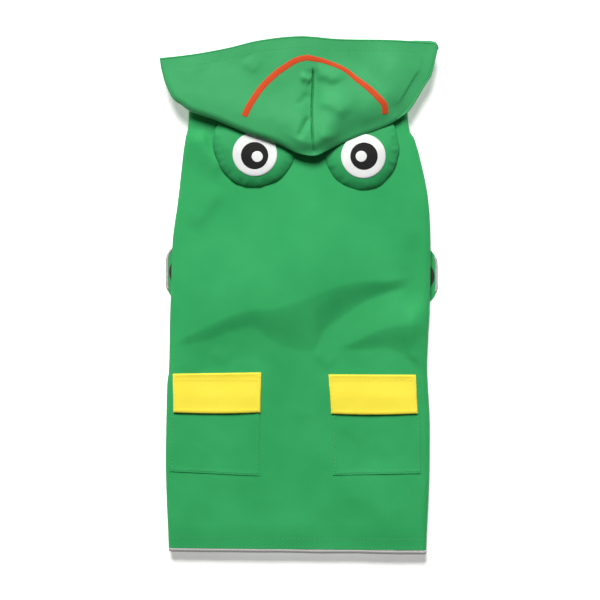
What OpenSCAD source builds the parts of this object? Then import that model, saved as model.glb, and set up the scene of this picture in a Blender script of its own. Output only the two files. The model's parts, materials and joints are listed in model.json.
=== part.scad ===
// Hooded raincoat for a dog, lying with its back up and its hood thrown back onto it.
// +X is to the right, +Y points to the head and +Z is up. z = 0 is the surface it lies on.
// The long sides are folded under the back, and every fold is the axis of a joint.

/* [Coat] */
// Length from the hem to the face edge of the thrown-back hood
overall_len = 468; // [440:1:500]
// Half width of the coat at its side folds
side_half_w = 118; // [110:0.5:124]
// Half width of the coat at its shoulder folds
neck_half_w = 101; // [96:0.5:106]
// Height of the fold axes above the surface
fold_z = 7.4; // [6.4:0.1:9]
// Thickness of the outer fabric with its seams
fabric_t = 1.2; // [0.8:0.1:1.4]
// Thickness of the mesh lining
lining_t = 0.7; // [0.4:0.1:0.8]
// Width of the reflective piping
piping_w = 3.2; // [2:0.1:4]

/* [Side flaps and belly straps] */
// How far a side flap reaches under the coat
side_flap_w = 55; // [45:1:58]
// Corner radius of a side flap at the hem
side_corner_r = 24; // [10:1:30]
// Width of a belly strap
strap_w = 54; // [40:1:60]
// Distance from the middle of the belly straps to the middle of the coat
strap_y = 18; // [10:1:18]
// Length of a belly strap from its fold to its round end
strap_len = 61; // [50:1:61]
// Corner radius at the end of a belly strap
strap_corner_r = 16; // [8:1:20]
// How far a belly strap's hook patch reaches along the strap
strap_patch_len = 20; // [10:1:30]
// Width of a belly strap's hook patch
strap_patch_w = 32; // [16:1:40]

/* [Leg openings and chest flaps] */
// Where a leg opening starts, towards the head from the middle of the coat
leg_start_y = 50; // [49:1:60]
// Where a leg opening ends
leg_end_y = 140; // [120:1:142]
// Width of the turned-under edge of a leg opening
leg_edge_w = 14; // [8:1:20]
// How far a chest flap reaches under the coat
chest_flap_w = 89; // [60:1:92]
// Corner radius of a chest flap
chest_corner_r = 26; // [12:1:34]
// How far a chest flap's hook or loop patch reaches along the flap
chest_patch_len = 28; // [15:1:40]
// Width of a chest flap's hook or loop patch
chest_patch_w = 40; // [20:1:50]

/* [Pockets] */
// Width of a pocket
pocket_w = 80; // [60:1:84]
// Height of a pocket
pocket_h = 89; // [60:1:110]
// Height of a pocket flap with its stitched band
flap_h = 35; // [24:1:44]
// Height of the stitched band
flap_band_h = 7; // [4:0.5:10]
// Distance from the middle of the coat down to the top of the pockets
pocket_drop = 70; // [50:1:80]
// Width of the hook and loop patches under a pocket flap
pocket_patch_w = 24; // [12:1:40]
// Height of the hook and loop patches under a pocket flap
pocket_patch_h = 14; // [8:1:18]

/* [Hood] */
// Half width of the hood at the ends of its face edge
hood_half_w = 125; // [118:0.5:130]
// Sideways place of the hood's middle seam
hood_mid_x = 10; // [4:1:14]
// Height of the hood's hollow, between its linings
hollow_h = 8; // [6:0.5:12]
// Distance from the face edge to the crown's tip
hood_len = 106; // [100:1:112]
// Width of the binding on the face edge
face_binding_w = 2.4; // [1.6:0.1:3]

/* [Eyes] */
// Radius of an eye pad
eye_pad_r = 36; // [30:0.5:38]
// Thickness of an eye pad
eye_pad_t = 12; // [8:0.5:14]
// Distance between the middles of the eyes
eye_pitch = 97; // [90:1:104]
// Radius of the white of an eye
eye_white_r = 20; // [16:0.5:22]
// Radius of a pupil
pupil_r = 12.3; // [9:0.1:13]
// Radius of the glint in a pupil
glint_r = 5; // [3:0.5:6]

/* [Mouth] */
// Half width of the mouth
mouth_half_w = 63; // [50:1:66]
// Height of the mouth's arch
mouth_h = 50; // [40:1:52]
// Width of the mouth stripe
stripe_w = 5.5; // [4:0.5:7]

/* [Hidden] */
$fn = 64;
LEFT = -1;
RIGHT = 1;

// Colours
green = [0.25, 0.66, 0.39];
yellow = [0.96, 0.92, 0.30];
orange = [0.90, 0.36, 0.18];
grey = [0.62, 0.62, 0.62];
black = [0.12, 0.12, 0.12];
white = [0.95, 0.95, 0.95];

// Play between pieces on different bodies, and air between layers of one body
play = 0.3;
air = 0.1;

// Further than any piece reaches, for cutting outlines along a line
far = 300;

// Heights of the layers. A folded flap turns half a turn about fold_z into the plane of the back.
flap_z = 2;
back_top = 2 * fold_z - flap_z;
back_z = back_top - fabric_t;
strap_t = 1.2;
patch_t = 0.6;

// Width of the binding round a belly strap and a chest flap
edge_w = 2;

// Places along the coat
hem_y = -overall_len / 2;
face_y = overall_len / 2;
neck_y = face_y - 8;
chest_start_y = leg_end_y + 1;
chest_end_y = face_y - 15;
panel_hem_y = hem_y + piping_w;
side_end_y = leg_start_y - 1;
side_free_x = side_half_w - side_flap_w;
neck_tape_w = 12;

// Pockets, each named by the sideways place of its middle
left_pocket_x = -74.5;
right_pocket_x = 68;
pocket_top_y = -pocket_drop;
pocket_t = 0.8;
loop_z = back_top + air + pocket_t;
hook_z = loop_z + patch_t + air;
flap_t = 1;
flap_fabric_z = hook_z + patch_t;
pocket_patch_y = pocket_top_y - flap_h + 4;

// Hood: a flat pouch that is open towards the head
hood_z = back_top + 0.6;
hollow_z = hood_z + fabric_t + air + lining_t;
front_lining_z = hollow_z + hollow_h;
front_z = front_lining_z + lining_t + air;
hood_top = front_z + fabric_t;
hood_split_z = (hood_z + hood_top) / 2;
crown_fold_y = face_y - 74;
hood_hinge_y = face_y - 6;
crown_tip = [hood_mid_x, face_y - hood_len];
left_crown = [-99, face_y - 67];
right_crown = [97, face_y - 69];
left_temple = [-120, face_y - 41];
right_temple = [120, face_y - 35];
edge_y = face_y - face_binding_w;
left_face = [-hood_half_w, edge_y - 16];
right_face = [hood_half_w, edge_y - 5];
left_brow = [-74, edge_y - 8];
mid_brow = [hood_mid_x, edge_y];
hood_sides = [left_face, left_temple, left_crown, crown_tip, right_crown, right_temple, right_face];

// Eyes
eye_z = hood_z;
eye_top = eye_z + eye_pad_t;
eye_y = face_y - 100;
cover_t = 1;
white_t = 0.8;
pupil_t = 0.4;
glint_t = 0.3;
// How far the white, the pupil and the glint lie below the middle of an eye pad
white_drop = 6;
pupil_drop = 7.5;
glint_drop = 8.5;
// How far the glints lie in from the middles of the pupils
glint_in = 2;

function mean(a, b) = (a + b) / 2;
function unit(v) = v / norm(v);
function to_left(v) = [-v[1], v[0]];

// The corner at q of a line set w to the left of the line from p over q to r
function inset_corner(p, q, r, w) =
    let (a = to_left(unit(q - p)), b = to_left(unit(r - q)))
    q + w * (a + b) / (1 + a * b);

// Points of a round corner; with no radius it is the corner itself
function corner(centre, r, from_a, to_a) = r <= 0
    ? [centre]
    : [for (i = [0 : 10]) let (a = from_a + (to_a - from_a) * i / 10)
        [centre[0] + r * cos(a), centre[1] + r * sin(a)]];

// Tab from an open end at x_open to an end with two round corners at x_end; x_end is the larger
module tab(x_open, x_end, y_low, y_high, r_low, r_high) {
    polygon(concat(
        [[x_open, y_low]],
        corner([x_end - r_low, y_low + r_low], r_low, -90, 0),
        corner([x_end - r_high, y_high - r_high], r_high, 0, 90),
        [[x_open, y_high]]
    ));
}

// The edge of a tab, w wide, along its three closed sides
module tab_edge(x_open, x_end, y_low, y_high, r_low, r_high, w) {
    difference() {
        tab(x_open, x_end, y_low, y_high, r_low, r_high);
        tab(x_open - 1, x_end - w, y_low + w, y_high - w, max(r_low - w, 0), max(r_high - w, 0));
    }
}

module slab(z_low, z_high) {
    translate([0, 0, z_low]) linear_extrude(z_high - z_low) children();
}

module block(x_low, x_high, y_low, y_high, z_low, z_high) {
    translate([x_low, y_low, z_low]) cube([x_high - x_low, y_high - y_low, z_high - z_low]);
}

// Draws a right-hand piece, or its mirror image on the left
module on_side(side) {
    if (side == LEFT) mirror([1, 0, 0]) children();
    else children();
}

// Upright strip along the left of the line from p to q
module wall(p, q, thickness, z_low, z_high) {
    translate([p[0], p[1], z_low])
        rotate([0, 0, atan2(q[1] - p[1], q[0] - p[0])])
            cube([norm(q - p), thickness, z_high - z_low]);
}

// ---- Back ----

module back_panel() {
    color(green) {
        slab(back_z, back_top)
            polygon([
                [-side_half_w, panel_hem_y], [side_half_w, panel_hem_y],
                [side_half_w, leg_start_y], [neck_half_w, leg_end_y],
                [neck_half_w, neck_y], [-neck_half_w, neck_y],
                [-neck_half_w, leg_end_y], [-side_half_w, leg_start_y]
            ]);
        for (side = [LEFT, RIGHT]) on_side(side) {
            block(side_half_w - fabric_t, side_half_w, panel_hem_y, side_end_y, fold_z + air, back_top);
            block(neck_half_w - fabric_t, neck_half_w, chest_start_y, chest_end_y,
                fold_z + air, back_top);
        }
    }
}

module back_lining() {
    inset = 4;
    end_y = neck_y - neck_tape_w - 2;
    color(white)
        slab(back_z - air - lining_t, back_z - air)
            polygon([
                [inset - side_half_w, panel_hem_y + inset], [side_half_w - inset, panel_hem_y + inset],
                [side_half_w - inset, leg_start_y], [neck_half_w - inset, leg_end_y],
                [neck_half_w - inset, end_y], [inset - neck_half_w, end_y],
                [inset - neck_half_w, leg_end_y], [inset - side_half_w, leg_start_y]
            ]);
}

module hem_piping() {
    color(grey)
        translate([-side_half_w, hem_y + piping_w / 2, back_top - piping_w / 2])
            rotate([0, 90, 0]) cylinder(d = piping_w, h = 2 * side_half_w);
}

module neck_tape() {
    half_len = neck_half_w - 6;
    color(green)
        block(-half_len, half_len, neck_y - neck_tape_w, neck_y - 1,
            back_z - air - fabric_t, back_z - air);
}

module leg_edge(side) {
    low = [side_half_w, leg_start_y + 0.5];
    high = [neck_half_w, leg_end_y - 0.5];
    color(green) on_side(side) {
        slab(0, fabric_t)
            polygon([low, high, high - [leg_edge_w, 0], low - [leg_edge_w, 0]]);
        slab(0, back_z)
            polygon([low, high, high - [fabric_t, 0], low - [fabric_t, 0]]);
    }
}

// ---- Pockets ----

module pocket(x) {
    corner_r = 5;
    color(green)
        translate([x, pocket_top_y - flap_band_h - play, 0])
            rotate([0, 0, -90])
                slab(back_top + air, loop_z)
                    tab(0, pocket_h - flap_band_h, -pocket_w / 2, pocket_w / 2, corner_r, corner_r);
}

module flap_band(x) {
    color(yellow)
        block(x - pocket_w / 2, x + pocket_w / 2, pocket_top_y - flap_band_h, pocket_top_y,
            back_top + air, hook_z);
}

module pocket_loop(x) {
    color(green)
        block(x - pocket_patch_w / 2, x + pocket_patch_w / 2,
            pocket_patch_y, pocket_patch_y + pocket_patch_h, loop_z, loop_z + patch_t);
}

module pocket_flap(x) {
    color(yellow)
        block(x - pocket_w / 2, x + pocket_w / 2,
            pocket_top_y - flap_h, pocket_top_y - flap_band_h - play,
            flap_fabric_z, flap_fabric_z + flap_t);
}

module pocket_hook(x) {
    color(yellow)
        block(x - pocket_patch_w / 2, x + pocket_patch_w / 2,
            pocket_patch_y, pocket_patch_y + pocket_patch_h, hook_z, flap_fabric_z);
}

// ---- Hood ----

// Keeps what lies on one side of the middle seam
module half_of(side) {
    intersection() {
        children();
        translate([side == LEFT ? hood_mid_x - far : hood_mid_x, -far]) square([far, 2 * far]);
    }
}

// Keeps what lies between two places along the coat
module between(y_low, y_high) {
    intersection() {
        children();
        translate([-far, y_low]) square([2 * far, y_high - y_low]);
    }
}

module hood_outline() {
    polygon(concat(hood_sides, [mid_brow, left_brow]));
}

// The band that runs round the hood's closed sides, from one end of the face edge to the other
module hood_rim() {
    past_edge = 20;
    last = len(hood_sides) - 1;
    first_dir = unit(hood_sides[1] - hood_sides[0]);
    last_dir = unit(hood_sides[last] - hood_sides[last - 1]);
    difference() {
        hood_outline();
        polygon(concat(
            [hood_sides[0] + fabric_t * to_left(first_dir) - past_edge * first_dir],
            [for (i = [1 : last - 1])
                inset_corner(hood_sides[i - 1], hood_sides[i], hood_sides[i + 1], fabric_t)],
            [hood_sides[last] + fabric_t * to_left(last_dir) + past_edge * last_dir]
        ));
    }
}

module hood_back(side) {
    color(green) {
        slab(hood_z, hood_z + fabric_t)
            half_of(side) between(0, hood_hinge_y - play) hood_outline();
        slab(hood_z + fabric_t, hood_split_z - play / 2)
            half_of(side) between(crown_fold_y, hood_hinge_y - play) hood_rim();
    }
}

module hood_crown(side) {
    color(green) {
        slab(front_z, hood_top)
            half_of(side) between(0, crown_fold_y) hood_outline();
        slab(hood_z + fabric_t, front_z)
            half_of(side) between(0, crown_fold_y) hood_rim();
    }
}

module hood_front(side) {
    color(green) {
        slab(front_z, hood_top)
            half_of(side) between(crown_fold_y + play, face_y) hood_outline();
        slab(hood_split_z + play / 2, front_z)
            half_of(side) between(crown_fold_y + play, face_y) hood_rim();
    }
}

// Mesh sheet inside one layer of the hood, clear of the rim
module hood_lining(y_low, y_high, z_low) {
    inset = 6;
    color(white)
        slab(z_low, z_low + lining_t)
            between(y_low, y_high)
                polygon([
                    crown_tip + [0, inset], right_crown + [-inset, 0], right_temple - [inset, 0],
                    right_face - [inset, 2], mid_brow - [0, 2], left_brow - [0, 2],
                    left_face + [inset, 0], left_temple + [inset, 0], left_crown + [inset, 0]
                ]);
}

module face_edge_binding() {
    proud = 0.3;
    color(green)
        intersection() {
            union() {
                for (edge = [[right_face, mid_brow], [mid_brow, left_brow], [left_brow, left_face]])
                    wall(edge[1], edge[0], face_binding_w, front_z - proud, hood_top + proud);
            }
            block(-hood_half_w, hood_half_w, 0, face_y, 0, 2 * hood_top);
        }
}

// One half of the arched stripe, from the middle seam out to the corner of the mouth
module mouth_stripe(side) {
    steps = 24;
    foot_y = crown_fold_y + 3;
    last_a = side == RIGHT ? 0 : 180;
    arch = [for (inset = [0, stripe_w]) [for (i = [0 : steps])
        let (a = 90 + (last_a - 90) * i / steps)
        [hood_mid_x + (mouth_half_w - inset) * cos(a), foot_y + (mouth_h - inset) * sin(a)]]];
    color(orange)
        slab(hood_top, hood_top + pupil_t)
            polygon(concat(arch[0], [for (i = [0 : steps]) arch[1][steps - i]]));
}

// ---- Eyes ----

// Where an eye's middle is, and the direction of the crown's edge that it hinges on
function eye_x(side) = hood_mid_x - 1 + side * eye_pitch / 2;
function crown_a(side) = side == RIGHT
    ? atan2(right_crown[1] - crown_tip[1], right_crown[0] - crown_tip[0])
    : atan2(crown_tip[1] - left_crown[1], crown_tip[0] - left_crown[0]);

// Keeps what lies clear of the crown's edge, on the side of the coat's middle
module below_crown(side, clear) {
    intersection() {
        children();
        translate(crown_tip) rotate(crown_a(side))
            translate([-far, -far - clear]) square([2 * far, far]);
    }
}

module eye_disc(side, r, drop, clear) {
    below_crown(side, clear) translate([eye_x(side), eye_y - drop]) circle(r);
}

module eye_back(side) {
    color(green) slab(eye_z, eye_z + cover_t) eye_disc(side, eye_pad_r, 0, play);
}

module eye_filling(side) {
    color(white)
        slab(eye_z + cover_t + air, eye_top - cover_t - air)
            eye_disc(side, eye_pad_r - cover_t - air, 0, play + cover_t + air);
}

module eye_front(side) {
    color(green) {
        slab(eye_top - cover_t, eye_top) eye_disc(side, eye_pad_r, 0, play);
        slab(eye_z + cover_t, eye_top - cover_t)
            difference() {
                eye_disc(side, eye_pad_r, 0, play);
                eye_disc(side, eye_pad_r - cover_t, 0, play + cover_t);
            }
    }
}

module eye_white(side) {
    color(white) slab(eye_top, eye_top + white_t) eye_disc(side, eye_white_r, white_drop, 2 * play);
}

module pupil(side) {
    level = eye_top + white_t;
    color(black) slab(level, level + pupil_t) eye_disc(side, pupil_r, pupil_drop, 2 * play);
}

module glint(side) {
    level = eye_top + white_t + pupil_t;
    color(white)
        slab(level, level + glint_t)
            translate([eye_x(side) - side * glint_in, eye_y - glint_drop]) circle(glint_r);
}

// ---- Side flaps and belly straps ----

// Draws a piece given by its reach inwards from a fold at x_fold
module folded_in(side, x_fold) {
    on_side(side) translate([x_fold, 0, 0]) mirror([1, 0, 0]) children();
}

// The stretch of a side flap's edge that the belly strap takes up
module strap_span(extra) {
    past_edge = 1;
    translate([side_flap_w - piping_w - past_edge, strap_y - strap_w / 2 - extra])
        square([piping_w + 2 * past_edge, strap_w + 2 * extra]);
}

module side_flap(side) {
    color(green) folded_in(side, side_half_w) {
        slab(flap_z, flap_z + fabric_t)
            tab(play, side_flap_w - piping_w, panel_hem_y + piping_w, side_end_y - piping_w,
                side_corner_r - piping_w, 0);
        slab(flap_z, fold_z - air)
            translate([play, panel_hem_y]) square([fabric_t, side_end_y - panel_hem_y]);
    }
}

module side_piping(side) {
    color(grey) folded_in(side, side_half_w)
        slab(0, piping_w)
            difference() {
                tab_edge(play + fabric_t, side_flap_w, panel_hem_y, side_end_y,
                    side_corner_r, 0, piping_w);
                strap_span(1);
            }
}

module belly_strap(side) {
    half_w = strap_w / 2 - edge_w;
    color(green) on_side(side)
        slab(0, strap_t)
            tab(side_free_x + play, side_free_x + strap_len - edge_w,
                strap_y - half_w, strap_y + half_w, strap_corner_r - edge_w, strap_corner_r - edge_w);
}

module strap_binding(side) {
    color(grey) on_side(side)
        slab(0, strap_t + 0.2)
            tab_edge(side_free_x + play, side_free_x + strap_len,
                strap_y - strap_w / 2, strap_y + strap_w / 2,
                strap_corner_r, strap_corner_r, edge_w);
}

module strap_hook(side) {
    end_x = side_free_x + strap_len - 5;
    color(black) on_side(side)
        block(end_x - strap_patch_len, end_x, strap_y - strap_patch_w / 2, strap_y + strap_patch_w / 2,
            strap_t, strap_t + patch_t);
}

// ---- Chest flaps ----

module chest_flap(side) {
    color(green) folded_in(side, neck_half_w) {
        slab(flap_z, flap_z + fabric_t)
            tab(play, chest_flap_w - edge_w, chest_start_y + edge_w, chest_end_y - edge_w,
                chest_corner_r - edge_w, chest_corner_r - edge_w);
        slab(flap_z, fold_z - air)
            translate([play, chest_start_y]) square([fabric_t, chest_end_y - chest_start_y]);
    }
}

module chest_binding(side) {
    proud = 0.4;
    color(grey) folded_in(side, neck_half_w)
        slab(flap_z - proud, flap_z + fabric_t + proud)
            tab_edge(play + fabric_t, chest_flap_w, chest_start_y, chest_end_y,
                chest_corner_r, chest_corner_r, edge_w);
}

module chest_patch(side) {
    mid_y = mean(chest_start_y, chest_end_y);
    end_x = chest_flap_w - 6;
    color(black) folded_in(side, neck_half_w)
        block(end_x - chest_patch_len, end_x, mid_y - chest_patch_w / 2, mid_y + chest_patch_w / 2,
            0, flap_z);
}

back_panel();
back_lining();
hem_piping();
neck_tape();
leg_edge(LEFT);  // left_leg_edge
leg_edge(RIGHT);  // right_leg_edge
pocket(left_pocket_x);  // left_pocket
pocket(right_pocket_x);  // right_pocket
flap_band(left_pocket_x);  // left_flap_band
flap_band(right_pocket_x);  // right_flap_band
pocket_loop(left_pocket_x);  // left_pocket_loop
pocket_loop(right_pocket_x);  // right_pocket_loop
pocket_flap(left_pocket_x);  // left_pocket_flap
pocket_flap(right_pocket_x);  // right_pocket_flap
pocket_hook(left_pocket_x);  // left_pocket_hook
pocket_hook(right_pocket_x);  // right_pocket_hook
hood_back(LEFT);  // left_hood_back
hood_back(RIGHT);  // right_hood_back
hood_crown(LEFT);  // left_hood_crown
hood_crown(RIGHT);  // right_hood_crown
hood_lining(crown_fold_y, hood_hinge_y - 2, hollow_z - lining_t);  // hood_back_lining
hood_front(LEFT);  // left_hood_front
hood_front(RIGHT);  // right_hood_front
hood_lining(crown_fold_y + 1, face_y, front_lining_z);  // hood_front_lining
face_edge_binding();
mouth_stripe(LEFT);  // left_mouth_stripe
mouth_stripe(RIGHT);  // right_mouth_stripe
eye_back(LEFT);  // left_eye_back
eye_filling(LEFT);  // left_eye_filling
eye_front(LEFT);  // left_eye_front
eye_white(LEFT);  // left_eye_white
pupil(LEFT);  // left_pupil
glint(LEFT);  // left_glint
eye_back(RIGHT);  // right_eye_back
eye_filling(RIGHT);  // right_eye_filling
eye_front(RIGHT);  // right_eye_front
eye_white(RIGHT);  // right_eye_white
pupil(RIGHT);  // right_pupil
glint(RIGHT);  // right_glint
side_flap(LEFT);  // left_side_flap
side_flap(RIGHT);  // right_side_flap
side_piping(LEFT);  // left_side_piping
side_piping(RIGHT);  // right_side_piping
belly_strap(LEFT);  // left_belly_strap
belly_strap(RIGHT);  // right_belly_strap
strap_binding(LEFT);  // left_strap_binding
strap_binding(RIGHT);  // right_strap_binding
strap_hook(LEFT);  // left_strap_hook
strap_hook(RIGHT);  // right_strap_hook
chest_flap(LEFT);  // left_chest_flap
chest_flap(RIGHT);  // right_chest_flap
chest_binding(LEFT);  // left_chest_binding
chest_binding(RIGHT);  // right_chest_binding
chest_patch(LEFT);  // left_chest_hook
chest_patch(RIGHT);  // right_chest_loop
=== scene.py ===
"""Hooded dog raincoat, laid flat with its back up and its hood thrown back.

Shapes are worked out in millimetres in the frame's own axes: +X right, +Y to the head, +Z up.
"""

import math

import bpy
import numpy as np
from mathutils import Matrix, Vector, noise
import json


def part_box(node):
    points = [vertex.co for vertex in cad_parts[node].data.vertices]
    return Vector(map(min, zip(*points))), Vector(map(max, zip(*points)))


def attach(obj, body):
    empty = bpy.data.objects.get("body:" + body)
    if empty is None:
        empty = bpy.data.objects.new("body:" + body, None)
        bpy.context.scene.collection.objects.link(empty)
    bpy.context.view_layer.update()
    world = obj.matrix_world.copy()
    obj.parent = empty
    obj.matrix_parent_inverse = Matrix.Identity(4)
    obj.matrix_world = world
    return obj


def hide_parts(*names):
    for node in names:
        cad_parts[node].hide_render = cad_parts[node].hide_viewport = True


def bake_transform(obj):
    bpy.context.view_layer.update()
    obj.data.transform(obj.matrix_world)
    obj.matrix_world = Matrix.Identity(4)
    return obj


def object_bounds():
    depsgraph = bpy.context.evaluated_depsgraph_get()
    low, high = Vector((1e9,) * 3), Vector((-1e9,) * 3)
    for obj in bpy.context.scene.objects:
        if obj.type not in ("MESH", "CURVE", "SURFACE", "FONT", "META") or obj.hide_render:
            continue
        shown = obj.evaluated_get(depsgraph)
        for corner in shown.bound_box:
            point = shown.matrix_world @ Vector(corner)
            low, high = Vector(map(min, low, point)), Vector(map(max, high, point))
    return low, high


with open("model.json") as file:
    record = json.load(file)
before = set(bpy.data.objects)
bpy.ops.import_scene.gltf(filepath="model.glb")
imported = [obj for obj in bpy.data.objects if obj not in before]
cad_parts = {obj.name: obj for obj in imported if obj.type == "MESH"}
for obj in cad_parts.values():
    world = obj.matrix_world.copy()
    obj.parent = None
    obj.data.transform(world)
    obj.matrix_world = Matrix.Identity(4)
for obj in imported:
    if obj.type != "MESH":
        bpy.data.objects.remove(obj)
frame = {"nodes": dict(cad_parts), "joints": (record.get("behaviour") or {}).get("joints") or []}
cad_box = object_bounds()

MM = 0.001
LEFT = -1
RIGHT = 1
SIDE_NAMES = {LEFT: "left", RIGHT: "right"}


# ---- Places taken from the frame ----


def node_box(name):
    """Lowest and highest corner of a CAD node, in millimetres."""
    low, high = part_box(name)
    return np.array(low) / MM, np.array(high) / MM


def joint_point(name):
    """A point on a joint's axis, in millimetres."""
    found = [j for j in frame["joints"] if j["name"] == name]
    return np.array(found[0]["pos_m"]) / MM


back_low, back_high = node_box("back_panel")
HEM_Y = back_low[1]
BACK_Z = back_high[2]
FOLD_X, _, FOLD_Z = joint_point("right_side_fold")
CHEST_X = joint_point("right_chest_fold")[0]
FOLD_R = BACK_Z - FOLD_Z
NECK_Y = joint_point("neck_seam")[1]
CROWN_Y = joint_point("crown_fold")[1]
CLOTH_T = 1.2
STRAP_Z = 1.1

STITCH = 2.7
STITCH_GAP = 0.9
STITCH_DIP = 0.25
THREAD_R = 0.24

# The camera's view, in millimetres, and half the floor's width in metres.
VIEW_WIDTH = 540
VIEW_SHIFT = (0.9, -3.1)
FLOOR_HALF = 4.0
FLOOR_GLOW = 0.34


# ---- Curves and fields ----


def smooth_path(points, count):
    """A smooth curve through the points, as count places evenly spaced along it."""
    p = np.array(points, float)
    padded = np.vstack([2 * p[0] - p[1], p, 2 * p[-1] - p[-2]])
    dense = []
    for i in range(1, len(padded) - 2):
        a, b, c, d = padded[i - 1 : i + 3]
        t = np.linspace(0, 1, 24, endpoint=False)[:, None]
        dense.append(
            0.5 * (2 * b + (c - a) * t + (2 * a - 5 * b + 4 * c - d) * t**2 + (3 * b - a - 3 * c + d) * t**3)
        )
    dense = np.vstack(dense + [p[-1:]])
    return resample(dense, count)


def places(path, shares):
    """Places along a path of straight steps; shares run from 0 at its start to 1 at its end."""
    path = np.asarray(path, float)
    steps = np.linalg.norm(np.diff(path, axis=0), axis=1)
    along = np.concatenate([[0], np.cumsum(steps)])
    wanted = np.asarray(shares) * along[-1]
    return np.stack([np.interp(wanted, along, path[:, k]) for k in range(path.shape[1])], axis=1)


def resample(path, count):
    """count places evenly spaced along a path of straight steps."""
    return places(path, np.linspace(0, 1, count))


def path_length(path):
    """Length of a path of straight steps."""
    return float(np.linalg.norm(np.diff(np.asarray(path, float), axis=0), axis=1).sum())


def heading(path):
    """A unit vector along a path at each of its places."""
    ahead = np.gradient(np.asarray(path, float), axis=0)
    return ahead / np.linalg.norm(ahead, axis=1)[:, None]


def leftward(path):
    """A unit vector to the left of a flat path at each of its places."""
    ahead = heading(path)
    return np.stack([-ahead[:, 1], ahead[:, 0]], axis=1)


def joined(*parts):
    """Places from their separate coordinates, which may be numbers, rows or grids."""
    return np.stack(np.broadcast_arrays(*parts), axis=-1)


def span(low, high, shares):
    """A grid of places between two equal rows of places, at those shares of the way."""
    v = np.asarray(shares)[:, None, None]
    return low[None] * (1 - v) + high[None] * v


def smoothstep(t):
    """0 below 0, 1 above 1, and a smooth rise between."""
    t = np.clip(t, 0, 1)
    return t * t * (3 - 2 * t)


def quarter_round(inside, radius):
    """0 at an edge, rising along a quarter circle to 1 at a radius from it."""
    return np.sqrt(1 - np.clip(1 - inside / radius, 0, 1) ** 2)


def bell(distance, width):
    """1 at no distance, and less and less away from it, like a bell."""
    return np.exp(-0.5 * (distance / width) ** 2)


def along_path(t, sizes):
    """A size that may change along a path: one number, or several evenly spaced ones."""
    sizes = np.atleast_1d(sizes)
    return np.interp(t, np.linspace(0, 1, len(sizes)), sizes)


def crease(x, y, points, height, up, down, fade=0.3):
    """A soft fold along a path: it rises over up on its left and falls over down on its right.

    height is one number, or several evenly spaced ones. fade is the share of the path where each end fades.
    """
    path = smooth_path(points, 200)
    dx = x[..., None] - path[:, 0]
    dy = y[..., None] - path[:, 1]
    nearest = np.argmin(dx**2 + dy**2, axis=-1)
    dx = np.take_along_axis(dx, nearest[..., None], -1)[..., 0]
    dy = np.take_along_axis(dy, nearest[..., None], -1)[..., 0]
    ahead = heading(path)[nearest]
    side = dy * ahead[..., 0] - dx * ahead[..., 1]
    t = nearest / (len(path) - 1)
    ends = smoothstep(t / fade) * smoothstep((1 - t) / fade)
    return along_path(t, height) * ends * bell(side, np.where(side > 0, up, down))


def ripple(x, y, size, seed):
    """Smooth noise between about -1 and 1, with bumps of that size."""
    flat = np.stack([np.ravel(x) / size, np.ravel(y) / size], axis=1)
    values = [noise.noise(Vector((a, b, seed))) for a, b in flat]
    return np.reshape(values, np.shape(x))


def near_path(x, y, path):
    """Distance to a path of straight steps, and how far along it the nearest place is, from 0 to 1."""
    best = np.full(np.shape(x), 1e9)
    share = np.zeros(np.shape(x))
    for i, (a, b) in enumerate(zip(path[:-1], path[1:])):
        step = b - a
        t = np.clip(((x - a[0]) * step[0] + (y - a[1]) * step[1]) / (step @ step), 0, 1)
        d = np.hypot(x - a[0] - t * step[0], y - a[1] - t * step[1])
        nearer = d < best
        best = np.where(nearer, d, best)
        share = np.where(nearer, (i + t) / (len(path) - 1), share)
    return best, share


# ---- Outline of the coat ----

left_outline = smooth_path(
    [(-117.4, HEM_Y), (-118, -212), (-119.2, -185), (-120.2, -150), (-119.7, -112), (-118.8, -78),
     (-117.2, -64), (-116.4, -20), (-115.3, 10), (-114, 50), (-109, 88), (-104.5, 128), (-102.3, 143),
     (-99.6, 160), (-98.6, NECK_Y)], 500)
right_outline = smooth_path(
    [(114.8, HEM_Y), (115.4, -212), (117, -178), (117.8, -150), (117.8, -110), (116.2, -80), (115.6, -62),
     (116.6, -35), (118, -8), (118.6, 50), (116.5, 88), (110.8, 118), (104.6, 141), (98.4, 158),
     (97.4, NECK_Y)], 500)

FACE_EDGE = [(-125, 213.2), (-107, 215), (-89, 217.4), (-62, 222.8), (-35, 229.3), (0, 233), (36, 230.4),
             (73, 229.6), (109, 228.2), (119, 227.6), (123.8, 226), (124.8, 222)]
CROWN_EDGE = [(-125, 213.2), (-123.6, 204), (-119.4, 189.5), (-112.8, 177), (-106.2, 172.2),
              (-98.8, 166.8), (-88, 162.6), (-76, 158.6), (-48, 147), (-20, 137.4), (-4, 129.4),
              (7, 126.6), (16, 126.6), (26, 131), (40, 138.2), (57, 145), (77, 152.4), (90, 160),
              (98.8, 166.6), (105.8, 177), (113.2, 189.5), (118.2, 197), (121, 206), (123.2, 215),
              (124.8, 222)]
crown_edge = smooth_path(CROWN_EDGE, 241)
face_edge = smooth_path(FACE_EDGE, 241)


def edge_x(side, y):
    """Where the coat's side fold is, at that place along the coat."""
    outline = left_outline if side == LEFT else right_outline
    return np.interp(y, outline[:, 1], outline[:, 0])


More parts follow.
